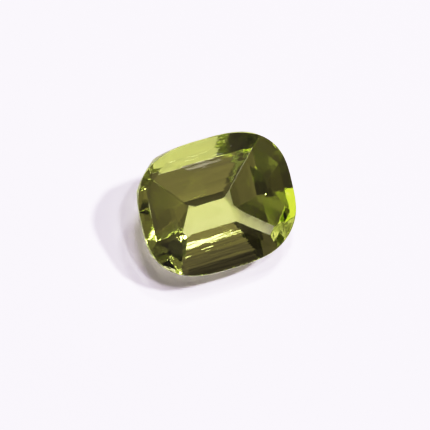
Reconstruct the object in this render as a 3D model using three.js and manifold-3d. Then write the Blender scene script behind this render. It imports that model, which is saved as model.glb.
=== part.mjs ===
// A loose cushion-cut apatite, cut by hand from one crystal.
// Millimetres, +Z up. The stone lies as it rests on a table top: leaning on the keel facet
// of its near side, with its long axis along X and the origin under the middle of it.
import * as THREE from "three";
import { mergeVertices } from "three/addons/utils/BufferGeometryUtils.js";
import Module from "manifold-3d";

const wasm = await Module();
wasm.setup();

// Driving dimensions, in the stone's own frame: X along it, Y across it, Z square to the table.
const girdleLength = 12.0;
const girdleWidth = 10.11;
const cushionPower = 2.77; // 2 is an ellipse, and larger is squarer
const girdleThickness = 0.22;
const girdleFlats = 96;

const crownHeight = 0.45;
const crownBreakHeight = 0.26;

const pavilionDepth = 5.03;
const keelLeft = -1.39;
const keelRight = 1.31;
const keelOffset = -0.32;

// Turn of each facet round the stone in degrees, from the right end towards the far side.
const crownTurns = {
  rightEnd: 0,
  farRight: 39.5,
  farSide: 90,
  farLeft: 129.5,
  leftEnd: 180,
  nearLeft: 223.1,
  nearSide: 270,
  nearRight: 317.8,
};
const pavilionTurns = {
  rightEnd: 0.8,
  farRight: 33.3,
  farSide: 90,
  farLeft: 139.4,
  leftEnd: 178.2,
  nearLeft: 218.1,
  nearSide: 270,
  nearRight: 319,
};

// How far in from the outline each first crown facet ends, and each second one.
const crownInsets = {
  rightEnd: [0.77, 1.88],
  farRight: [1.03, 2.43],
  farSide: [0.88, 2.26],
  farLeft: [0.8, 3.09],
  leftEnd: [1.14, 2.57],
  nearLeft: [0.85, 1.7],
  nearSide: [0.94, 2.44],
  nearRight: [0.89, 3.25],
};

// Lower edge of each pavilion facet but the last: how far in from the outline, how deep under the girdle.
const pavilionEdges = {
  rightEnd: [[4.2, 4.52]],
  farRight: [[1.05, 3.08], [2.57, 3.97]],
  farSide: [[2, 2.27], [4.24, 4.08]],
  farLeft: [[1.12, 2], [2.58, 4.31]],
  leftEnd: [[1.38, 2.05], [3.07, 3.57]],
  nearLeft: [[1.39, 2.04], [2.99, 3.92]],
  nearSide: [[1.58, 2.27], [2.88, 4.08]],
  nearRight: [[0.99, 2.04], [3.28, 3.94]],
};

// How far each last corner facet passes outside the keel's end at the keel's depth.
const keelMisses = {
  farRight: -0.11,
  farLeft: 0.11,
  nearLeft: -0.29,
  nearRight: 0.23,
};

const restFacet = "nearSide";
const degree = Math.PI / 180;

// How far the outline reaches in the direction of a turn.
function outlineReach(turn) {
  const power = cushionPower / (cushionPower - 1);
  const along = Math.abs((girdleLength / 2) * Math.cos(turn));
  const across = Math.abs((girdleWidth / 2) * Math.sin(turn));
  return (along ** power + across ** power) ** (1 / power);
}

// The point of the outline whose edge faces the turn.
function outlinePoint(turn) {
  const reach = outlineReach(turn);
  const power = 1 / (cushionPower - 1);
  const halfLength = girdleLength / 2;
  const halfWidth = girdleWidth / 2;
  const cos = Math.cos(turn);
  const sin = Math.sin(turn);
  const x = halfLength * Math.abs((halfLength * cos) / reach) ** power * Math.sign(cos);
  const y = halfWidth * Math.abs((halfWidth * sin) / reach) ** power * Math.sign(sin);
  return new THREE.Vector2(x, y);
}

// A closed geometry as a solid that can be cut.
function solidOf(geometry) {
  const shell = geometry.clone();
  shell.deleteAttribute("normal");
  shell.deleteAttribute("uv");
  const merged = mergeVertices(shell, 1e-5);
  return new wasm.Manifold(
    new wasm.Mesh({
      numProp: 3,
      vertProperties: merged.attributes.position.array,
      triVerts: new Uint32Array(merged.index.array),
    }),
  );
}

// The uncut blank: a straight cushion-shaped column through the whole height.
function makeBlank() {
  const points = [];
  for (let i = 0; i < girdleFlats; i += 1) {
    points.push(outlinePoint(((i + 0.5) / girdleFlats) * 2 * Math.PI));
  }
  const margin = 1;
  const geometry = new THREE.ExtrudeGeometry(new THREE.Shape(points), {
    depth: crownHeight + pavilionDepth + 2 * margin,
    bevelEnabled: false,
  });
  geometry.translate(0, 0, -pavilionDepth - margin);
  return solidOf(geometry);
}

// A block whose inner face is the plane through two points, given as reach and height
// in the vertical plane of the turn. What it holds of the stone is ground away.
function grindingBlock(turn, outer, inner) {
  const run = outer[0] - inner[0];
  const rise = Math.abs(inner[1] - outer[1]);
  const side = Math.sign(inner[1] - outer[1]);
  const normal = new THREE.Vector3(
    rise * Math.cos(turn),
    rise * Math.sin(turn),
    run * side,
  ).normalize();
  const blockSize = 40;
  const onPlane = new THREE.Vector3(
    outer[0] * Math.cos(turn),
    outer[0] * Math.sin(turn),
    outer[1],
  );
  const centre = onPlane.addScaledVector(normal, blockSize / 2);
  const lie = new THREE.Quaternion().setFromUnitVectors(new THREE.Vector3(0, 0, 1), normal);
  const geometry = new THREE.BoxGeometry(blockSize, blockSize, blockSize);
  geometry.applyMatrix4(
    new THREE.Matrix4().compose(centre, lie, new THREE.Vector3(1, 1, 1)),
  );
  return solidOf(geometry);
}

// Reach and height of a facet's edges, from the girdle inwards.
function crownProfile(spot) {
  const reach = outlineReach(crownTurns[spot] * degree);
  const [breakInset, tableInset] = crownInsets[spot];
  const base = girdleThickness / 2;
  return [
    [reach, base],
    [reach - breakInset, base + crownBreakHeight],
    [reach - tableInset, base + crownHeight],
  ];
}

function pavilionProfile(spot) {
  const turn = pavilionTurns[spot] * degree;
  const reach = outlineReach(turn);
  const base = -girdleThickness / 2;
  const keelX = Math.cos(turn) > 0 ? keelRight : keelLeft;
  const keelEnd = keelX * Math.cos(turn) + keelOffset * Math.sin(turn);
  const keelReach = keelEnd + (keelMisses[spot] ?? 0);
  return [
    [reach, base],
    ...pavilionEdges[spot].map(([inset, depth]) => [reach - inset, base - depth]),
    [keelReach, -pavilionDepth],
  ];
}

function cutStone() {
  let stone = makeBlank();
  const blockSize = 40;
  const tableBlock = new THREE.BoxGeometry(blockSize, blockSize, blockSize);
  tableBlock.translate(0, 0, girdleThickness / 2 + crownHeight + blockSize / 2);
  stone = stone.subtract(solidOf(tableBlock));
  for (const [turns, profileOf] of [
    [crownTurns, crownProfile],
    [pavilionTurns, pavilionProfile],
  ]) {
    for (const spot of Object.keys(turns)) {
      const profile = profileOf(spot);
      for (let i = 0; i + 1 < profile.length; i += 1) {
        const block = grindingBlock(turns[spot] * degree, profile[i], profile[i + 1]);
        stone = stone.subtract(block);
      }
    }
  }
  return stone;
}

function geometryOf(solid) {
  const mesh = solid.getMesh();
  const geometry = new THREE.BufferGeometry();
  const corners = new Float32Array(mesh.vertProperties);
  geometry.setAttribute("position", new THREE.BufferAttribute(corners, 3));
  geometry.setIndex(Array.from(mesh.triVerts));
  const flat = geometry.toNonIndexed();
  flat.computeVertexNormals();
  return flat;
}

// Slope of the facet that the stone lies on, measured from the girdle plane.
function restAngle() {
  const profile = pavilionProfile(restFacet);
  const [outer, inner] = profile.slice(-2);
  return Math.atan2(outer[1] - inner[1], outer[0] - inner[0]);
}

const apatite = new THREE.MeshStandardMaterial({
  color: 0x9aa63c,
  roughness: 0.05,
  metalness: 0,
});

const stone = new THREE.Mesh(geometryOf(cutStone()), apatite);
stone.name = "stone";
stone.rotation.x = restAngle();
stone.updateMatrixWorld(true);
const reach = new THREE.Box3().setFromObject(stone, true);
stone.position.set(
  -(reach.min.x + reach.max.x) / 2,
  -(reach.min.y + reach.max.y) / 2,
  -reach.min.z,
);

const gem = new THREE.Group();
gem.add(stone);

export default gem;
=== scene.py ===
import math

import bmesh
import bpy
from mathutils import Matrix, Vector


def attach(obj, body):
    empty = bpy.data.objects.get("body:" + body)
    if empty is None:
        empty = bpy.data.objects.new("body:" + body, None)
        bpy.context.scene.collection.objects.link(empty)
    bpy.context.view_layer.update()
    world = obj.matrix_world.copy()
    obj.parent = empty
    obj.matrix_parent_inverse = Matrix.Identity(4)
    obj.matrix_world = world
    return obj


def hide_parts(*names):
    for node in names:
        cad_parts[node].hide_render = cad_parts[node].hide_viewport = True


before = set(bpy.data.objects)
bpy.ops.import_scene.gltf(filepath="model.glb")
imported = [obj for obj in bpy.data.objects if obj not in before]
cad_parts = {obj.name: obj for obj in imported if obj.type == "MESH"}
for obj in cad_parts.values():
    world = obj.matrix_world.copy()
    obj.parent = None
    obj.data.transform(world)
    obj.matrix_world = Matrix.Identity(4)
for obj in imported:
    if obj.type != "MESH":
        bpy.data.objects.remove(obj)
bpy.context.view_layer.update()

mm = 0.001
scene = bpy.context.scene
print("frame loaded:", sorted(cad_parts))


# A value that flows through a node tree. Sums and products of it add their own Math nodes.
class Flow:
    def __init__(self, bench, socket):
        self.bench = bench
        self.socket = socket

    def maths(self, operation, *values):
        return self.bench.add("ShaderNodeMath", {"operation": operation}, dict(enumerate(values)))[0]

    def __add__(self, other):
        return self.maths("ADD", self, other)

    def __radd__(self, other):
        return self.maths("ADD", other, self)

    def __sub__(self, other):
        return self.maths("SUBTRACT", self, other)

    def __rsub__(self, other):
        return self.maths("SUBTRACT", other, self)

    def __mul__(self, other):
        return self.maths("MULTIPLY", self, other)

    def __rmul__(self, other):
        return self.maths("MULTIPLY", other, self)

    # from 0 below the first level to 1 above the second
    def ramp(self, low, high):
        return self.bench.add("ShaderNodeMapRange", {"interpolation_type": "SMOOTHSTEP"}, {
            "Value": self, "From Min": low, "From Max": high,
        })[0]


# One node tree, emptied and built from scratch.
class Bench:
    def __init__(self, tree):
        self.tree = tree
        self.tree.nodes.clear()

    # adds a node: settings first, then values or links by socket name or number
    def add(self, kind, settings=None, sockets=None):
        node = self.tree.nodes.new(kind)
        for name, value in (settings or {}).items():
            setattr(node, name, value)
        for key, value in (sockets or {}).items():
            if isinstance(value, Flow):
                self.tree.links.new(value.socket, node.inputs[key])
            else:
                node.inputs[key].default_value = value
        return [Flow(self, socket) for socket in node.outputs]


photoCamera = {
    "azimuth": -50.6,  # degrees round the stone from its near side
    "elevation": 72,
    "roll": 32.9,
    "aim": (-0.38 * mm, -0.71 * mm, 4.47 * mm),
    "frameWidth": 32.03 * mm,  # what the picture is wide at the aim
    "lens": 300,
    "sensor": 36,
}


def placeCamera(spec):
    azimuth = math.radians(spec["azimuth"])
    elevation = math.radians(spec["elevation"])
    back = Vector((
        math.sin(azimuth) * math.cos(elevation),
        -math.cos(azimuth) * math.cos(elevation),
        math.sin(elevation),
    ))
    right = Vector((math.cos(azimuth), math.sin(azimuth), 0))
    right = Matrix.Rotation(math.radians(spec["roll"]), 3, back) @ right
    up = back.cross(right)
    distance = spec["lens"] / spec["sensor"] * spec["frameWidth"]
    data = bpy.data.cameras.new("photoCamera")
    data.lens = spec["lens"]
    data.sensor_width = spec["sensor"]
    data.clip_start = 0.01
    data.clip_end = 10
    camera = bpy.data.objects.new("photoCamera", data)
    camera.matrix_world = Matrix((
        (right.x, up.x, back.x, spec["aim"][0] + back.x * distance),
        (right.y, up.y, back.y, spec["aim"][1] + back.y * distance),
        (right.z, up.z, back.z, spec["aim"][2] + back.z * distance),
        (0, 0, 0, 1),
    ))
    scene.collection.objects.link(camera)
    scene.camera = camera
    return back, right, up


toCamera, cameraRight, cameraUp = placeCamera(photoCamera)
print("camera placed")

apatite = {
    "ior": 1.636,
    "clearColour": (0.87, 0.94, 0.3, 1),
    "density": 150,  # absorption per metre
    "polish": 0.0,
    "frost": 0.45,  # roughness of the unpolished girdle
    "lean": -24.4,  # degrees the stone leans towards its near side
    "streaksPerMetre": (200, 1900, 1900),
    "streakDetail": 3.0,
    "streakRoughness": 0.5,
    "streakHeight": 0.00001,
    "endOn": 0.8,  # facets that face the ends more than this show no streaks
}


def apatiteMaterial(spec):
    material = bpy.data.materials.new("apatite")
    material.use_nodes = True
    bench = Bench(material.node_tree)
    coordinates = bench.add("ShaderNodeTexCoord")
    facing, place = coordinates[1], coordinates[3]
    turned = bench.add("ShaderNodeMapping", {"vector_type": "TEXTURE"}, {
        "Vector": place,
        "Rotation": (math.radians(spec["lean"]), 0, 0),
    })[0]
    stretched = bench.add("ShaderNodeVectorMath", {"operation": "MULTIPLY"}, {
        0: turned,
        1: spec["streaksPerMetre"],
    })[0]
    streaks = bench.add("ShaderNodeTexNoise", None, {
        "Vector": stretched,
        "Scale": 1.0,
        "Detail": spec["streakDetail"],
        "Roughness": spec["streakRoughness"],
    })[0]
    endFacing = bench.add("ShaderNodeSeparateXYZ", None, {"Vector": facing})[0]
    relief = bench.add("ShaderNodeBump", None, {
        "Strength": 1.0,
        "Distance": spec["streakHeight"],
        "Height": streaks * (1 - (endFacing * endFacing).ramp(0, spec["endOn"] ** 2)),
    })[0]
    frosted = bench.add("ShaderNodeAttribute", {"attribute_name": "girdle"})[2]
    surface = bench.add("ShaderNodeBsdfPrincipled", None, {
        "Base Color": (1, 1, 1, 1),
        "Roughness": frosted * spec["frost"] + spec["polish"],
        "IOR": spec["ior"],
        "Transmission Weight": 1.0,
        "Normal": relief,
    })[0]
    inside = bench.add("ShaderNodeVolumeAbsorption", None, {
        "Color": spec["clearColour"],
        "Density": spec["density"],
    })[0]
    bench.add("ShaderNodeOutputMaterial", None, {"Surface": surface, "Volume": inside})
    return material


# The stone is dressed in millimetres and made small again at the end,
# because mesh tools round off tiny lengths.
cut = {
    "weldDistance": 0.004,
    "flatAngle": 0.3,
    "edgeWear": 0.025,  # how far the facet edges are worn back
    "wornAngle": 4,  # edges flatter than this stay as cut
    "girdleSlope": 0.12,
}
# the line square to the table, turned by the stone's lean
tableUp = Matrix.Rotation(math.radians(-apatite["lean"]), 3, "X") @ Vector((0, 0, 1))


# Joins the corners that are one and the faces that are flat together.
def mergeFlat(work, spec):
    bmesh.ops.remove_doubles(work, verts=work.verts, dist=spec["weldDistance"])
    flat = math.radians(spec["flatAngle"])
    bmesh.ops.dissolve_limit(work, angle_limit=flat, verts=work.verts, edges=work.edges)


# A convex copy of the cut stone with its edges worn narrow.
def makeStone(spec):
    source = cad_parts["stone"]
    mesh = source.data.copy()
    mesh.name = "gem"
    work = bmesh.new()
    work.from_mesh(mesh)
    bmesh.ops.transform(work, matrix=Matrix.Scale(1 / mm, 4), verts=work.verts)
    mergeFlat(work, spec)
    sharp = [edge for edge in work.edges if edge.calc_face_angle(0) > math.radians(spec["wornAngle"])]
    bmesh.ops.bevel(
        work, geom=sharp, affect="EDGES", offset=spec["edgeWear"], offset_type="OFFSET",
        segments=1, profile=0.5, clamp_overlap=False,
    )
    # the hull of the worn corners is the whole stone, because a cut stone has no hollows
    corners = [corner.co.copy() for corner in work.verts]
    work.clear()
    for corner in corners:
        work.verts.new(corner)
    hull = bmesh.ops.convex_hull(work, input=work.verts)
    unused = set(hull["geom_interior"] + hull["geom_unused"])
    inner = [item for item in unused if isinstance(item, bmesh.types.BMVert)]
    bmesh.ops.delete(work, geom=inner, context="VERTS")
    mergeFlat(work, spec)
    bmesh.ops.recalc_face_normals(work, faces=work.faces)
    for face in work.faces:
        face.smooth = False
    work.to_mesh(mesh)
    work.free()
    mesh.materials.clear()
    return mesh


wear = {
    "nicksPerSquareMillimetre": 9.0,
    "smallest": 0.05,
    "largest": 0.13,
    "seed": 4,
    "bruisedSide": (-0.45, -0.89, 0),  # the side of the girdle that took the knocks
    "bruisedShare": 0.55,
}


# Writes an attribute of the faces: 1 on the girdle, or on the part of it that faces a way.
def markGirdle(mesh, name, spec, way=None, share=0.0):
    middle = sum((vertex.co for vertex in mesh.vertices), Vector()) / len(mesh.vertices)
    for attribute in [item for item in mesh.attributes if item.name == name]:
        mesh.attributes.remove(attribute)
    marks = mesh.attributes.new(name, "FLOAT", "FACE")
    for face in mesh.polygons:
        onGirdle = abs(face.normal.dot(tableUp)) < spec["girdleSlope"]
        facing = way is None or (face.center - middle).normalized().dot(Vector(way).normalized()) > share
        marks.data[face.index].value = 1.0 if onGirdle and facing else 0.0


# Scatters small balls along the chipped part of the girdle and takes them out of the stone.
def chipGirdle(stone, material, spec):
    tree = bpy.data.node_groups.new("chips", "GeometryNodeTree")
    face = tree.interface
    face.new_socket("Stone", in_out="INPUT", socket_type="NodeSocketGeometry")
    inputs = {
        "Nicks per Square Millimetre": ("NodeSocketFloat", spec["nicksPerSquareMillimetre"]),
        "Smallest Nick": ("NodeSocketFloat", spec["smallest"]),
        "Largest Nick": ("NodeSocketFloat", spec["largest"]),
        "Seed": ("NodeSocketInt", spec["seed"]),
    }
    keys = {}
    for name, (kind, _) in inputs.items():
        keys[name] = face.new_socket(name, in_out="INPUT", socket_type=kind).identifier
    face.new_socket("Chipped Stone", in_out="OUTPUT", socket_type="NodeSocketGeometry")
    bench = Bench(tree)
    whole, density, smallest, largest, seed = bench.add("NodeGroupInput")[:5]
    bruised = bench.add("GeometryNodeInputNamedAttribute", {"data_type": "FLOAT"}, {"Name": "bruised"})[0]
    points = bench.add("GeometryNodeDistributePointsOnFaces", None, {
        "Mesh": whole, "Selection": bruised, "Density": density, "Seed": seed,
    })[0]
    size = bench.add("FunctionNodeRandomValue", {"data_type": "FLOAT"}, {2: smallest, 3: largest, 8: seed})[1]
    ball = bench.add("GeometryNodeMeshIcoSphere", None, {"Radius": 1.0, "Subdivisions": 2})[0]
    balls = bench.add("GeometryNodeInstanceOnPoints", None, {
        "Points": points, "Instance": ball, "Scale": size,
    })[0]
    solid = bench.add("GeometryNodeRealizeInstances", None, {"Geometry": balls})[0]
    chipped = bench.add("GeometryNodeMeshBoolean", {"operation": "DIFFERENCE", "solver": "EXACT"}, {
        "Mesh 1": whole, "Mesh 2": solid, "Self Intersection": True,
    })[0]
    plain = bench.add("GeometryNodeRealizeInstances", None, {"Geometry": chipped})[0]
    dressed = bench.add("GeometryNodeSetMaterial", None, {"Geometry": plain, "Material": material})[0]
    bench.add("NodeGroupOutput", None, {0: dressed})
    modifier = stone.modifiers.new("chips", "NODES")
    modifier.node_group = tree
    for name, (_, value) in inputs.items():
        modifier[keys[name]] = value
    stone.data.update()
    result = bpy.data.meshes.new_from_object(stone.evaluated_get(bpy.context.evaluated_depsgraph_get()))
    stone.modifiers.clear()
    result.transform(Matrix.Scale(mm, 4))
    return result


def makeGem():
    mesh = makeStone(cut)
    markGirdle(mesh, "bruised", cut, wear["bruisedSide"], wear["bruisedShare"])
    stone = bpy.data.objects.new("gem", mesh)
    scene.collection.objects.link(stone)
    stone.data = chipGirdle(stone, apatiteMaterial(apatite), wear)
    markGirdle(stone.data, "girdle", cut)
    return stone


gem = makeGem()
print("stone cut:", len(gem.data.polygons), "faces")

paper = {
    "size": 0.6,
    "gap": 0.02 * mm,  # its fibres keep it just clear of the polished facet
    "colour": (0.96, 0.91, 0.98, 1),
    "roughness": 0.9,
    "gloss": 0.1,
}


def makeFloor(spec):
    half = spec["size"] / 2
    mesh = bpy.data.meshes.new("paper")
    level = -spec["gap"]
    corners = [(-half, -half, level), (half, -half, level), (half, half, level), (-half, half, level)]
    mesh.from_pydata(corners, [], [(0, 1, 2, 3)])
    floor = bpy.data.objects.new("paper", mesh)
    scene.collection.objects.link(floor)
    material = bpy.data.materials.new("paper")
    material.use_nodes = True
    bench = Bench(material.node_tree)
    surface = bench.add("ShaderNodeBsdfPrincipled", None, {
        "Base Color": spec["colour"],
        "Roughness": spec["roughness"],
        "Specular IOR Level": spec["gloss"],
    })[0]
    bench.add("ShaderNodeOutputMaterial", None, {"Surface": surface})
    mesh.materials.append(material)
    return floor


floor = makeFloor(paper)

# Soft panels round a dark room, so that the stone's steep facets have something dark to show.
studio = {
    "sky": 0,  # light between the panels
    "skyColour": (1.28, 1.0, 0.93, 1),
    "panels": [
        # turn and height of its middle in degrees, half its width in degrees, brightness
        (180, 12, 32, 0.03),
        (270, 12, 32, 0.16),
        (330, 12, 32, 0.08),
        (0, 38, 34, 0.08),
        (200, 38, 34, 0.05),
        (240, 38, 34, 0.07),
        (0, 64, 34, 0.05),
        (72, 64, 34, 0.11),
        (288, 64, 34, 0.18),
        (0, 90, 34, 0.05),
    ],
    "distance": 1.0,  # of the lamps, in metres
    "lampColour": (1.03, 1.0, 1.13),
    "lamps": [
        # direction from the stone, share of the paper's light, width in degrees
        ((0.105, 0.0, 0.995), 0.246, 5.0),
        ((-0.064, 0.198, 0.978), 0.14, 5.0),
        ((0.0, 0.309, 0.951), 0.15, 5.0),
        ((0.211, 0.366, 0.906), 0.15, 5.0),
        ((0.423, 0.0, 0.906), 0.52, 5.0),
        ((0.211, -0.366, 0.906), 0.003, 4.0),
    ],
}


# the unit vector of a turn round the stone, from its right end, and a height above the paper
def wayTo(turn, height):
    turn = math.radians(turn)
    height = math.radians(height)
    return Vector((math.cos(turn) * math.cos(height), math.sin(turn) * math.cos(height), math.sin(height)))


def lightStudio(spec):
    world = bpy.data.worlds.new("studio")
    scene.world = world
    world.use_nodes = True
    bench = Bench(world.node_tree)
    looking = bench.add("ShaderNodeTexCoord")[0]
    glow = bench.add("ShaderNodeValue")[0]
    glow.socket.default_value = spec["sky"]
    for turn, height, width, brightness in spec["panels"]:
        facing = bench.add("ShaderNodeVectorMath", {"operation": "DOT_PRODUCT"}, {
            0: looking, 1: wayTo(turn, height),
        })[1]
        glow = glow + facing.ramp(math.cos(math.radians(width)), 1.0) * brightness
    sky = bench.add("ShaderNodeBackground", None, {"Color": spec["skyColour"], "Strength": glow})[0]
    bench.add("ShaderNodeOutputWorld", None, {"Surface": sky})
    for number, (direction, share, width) in enumerate(spec["lamps"]):
        way = Vector(direction).normalized()
        radius = spec["distance"] * math.tan(math.radians(width / 2))
        data = bpy.data.lights.new("lamp", "AREA")
        data.shape = "DISK"
        data.size = 2 * radius
        data.color = spec["lampColour"]
        # a disk this far away gives white paper the brightness of its share
        data.energy = share * math.pi ** 2 * spec["distance"] ** 2 / way.z
        lamp = bpy.data.objects.new("lamp" + str(number + 1), data)
        lamp.location = way * spec["distance"]
        lamp.rotation_euler = way.to_track_quat("Z", "Y").to_euler()
        scene.collection.objects.link(lamp)


film = {
    "middle": 0.5,  # the light that comes out as bright as it goes in
    "contrast": 1.3,
    "ceiling": 1.03,
    "white": 1.6,  # the light at the end of the curve
    "steps": 16,  # how many parts the curve is drawn in
}


# How bright a light comes out: darks a little deeper, lights eased off towards white.
def exposed(light, spec):
    middle = spec["middle"]
    if light < middle:
        return light * (1 - (spec["contrast"] - 1) * (1 - light / middle))
    room = spec["ceiling"] - middle
    return middle + room * (1 - math.exp(-spec["contrast"] * (light - middle) / room))


def developFilm(spec):
    view = scene.view_settings
    view.view_transform = "Standard"
    view.use_curve_mapping = True
    mapping = view.curve_mapping
    mapping.white_level = (spec["white"],) * 3
    line = mapping.curves[3].points
    line[-1].location = (1, exposed(spec["white"], spec))
    for step in range(1, spec["steps"]):
        share = step / spec["steps"]
        line.new(share, exposed(share * spec["white"], spec))
    mapping.update()


lightStudio(studio)
developFilm(film)
scene.cycles.max_bounces = 32
scene.cycles.glossy_bounces = 24
scene.cycles.transmission_bounces = 24
scene.cycles.diffuse_bounces = 4
print("studio lit")

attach(gem, "root")
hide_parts("stone")
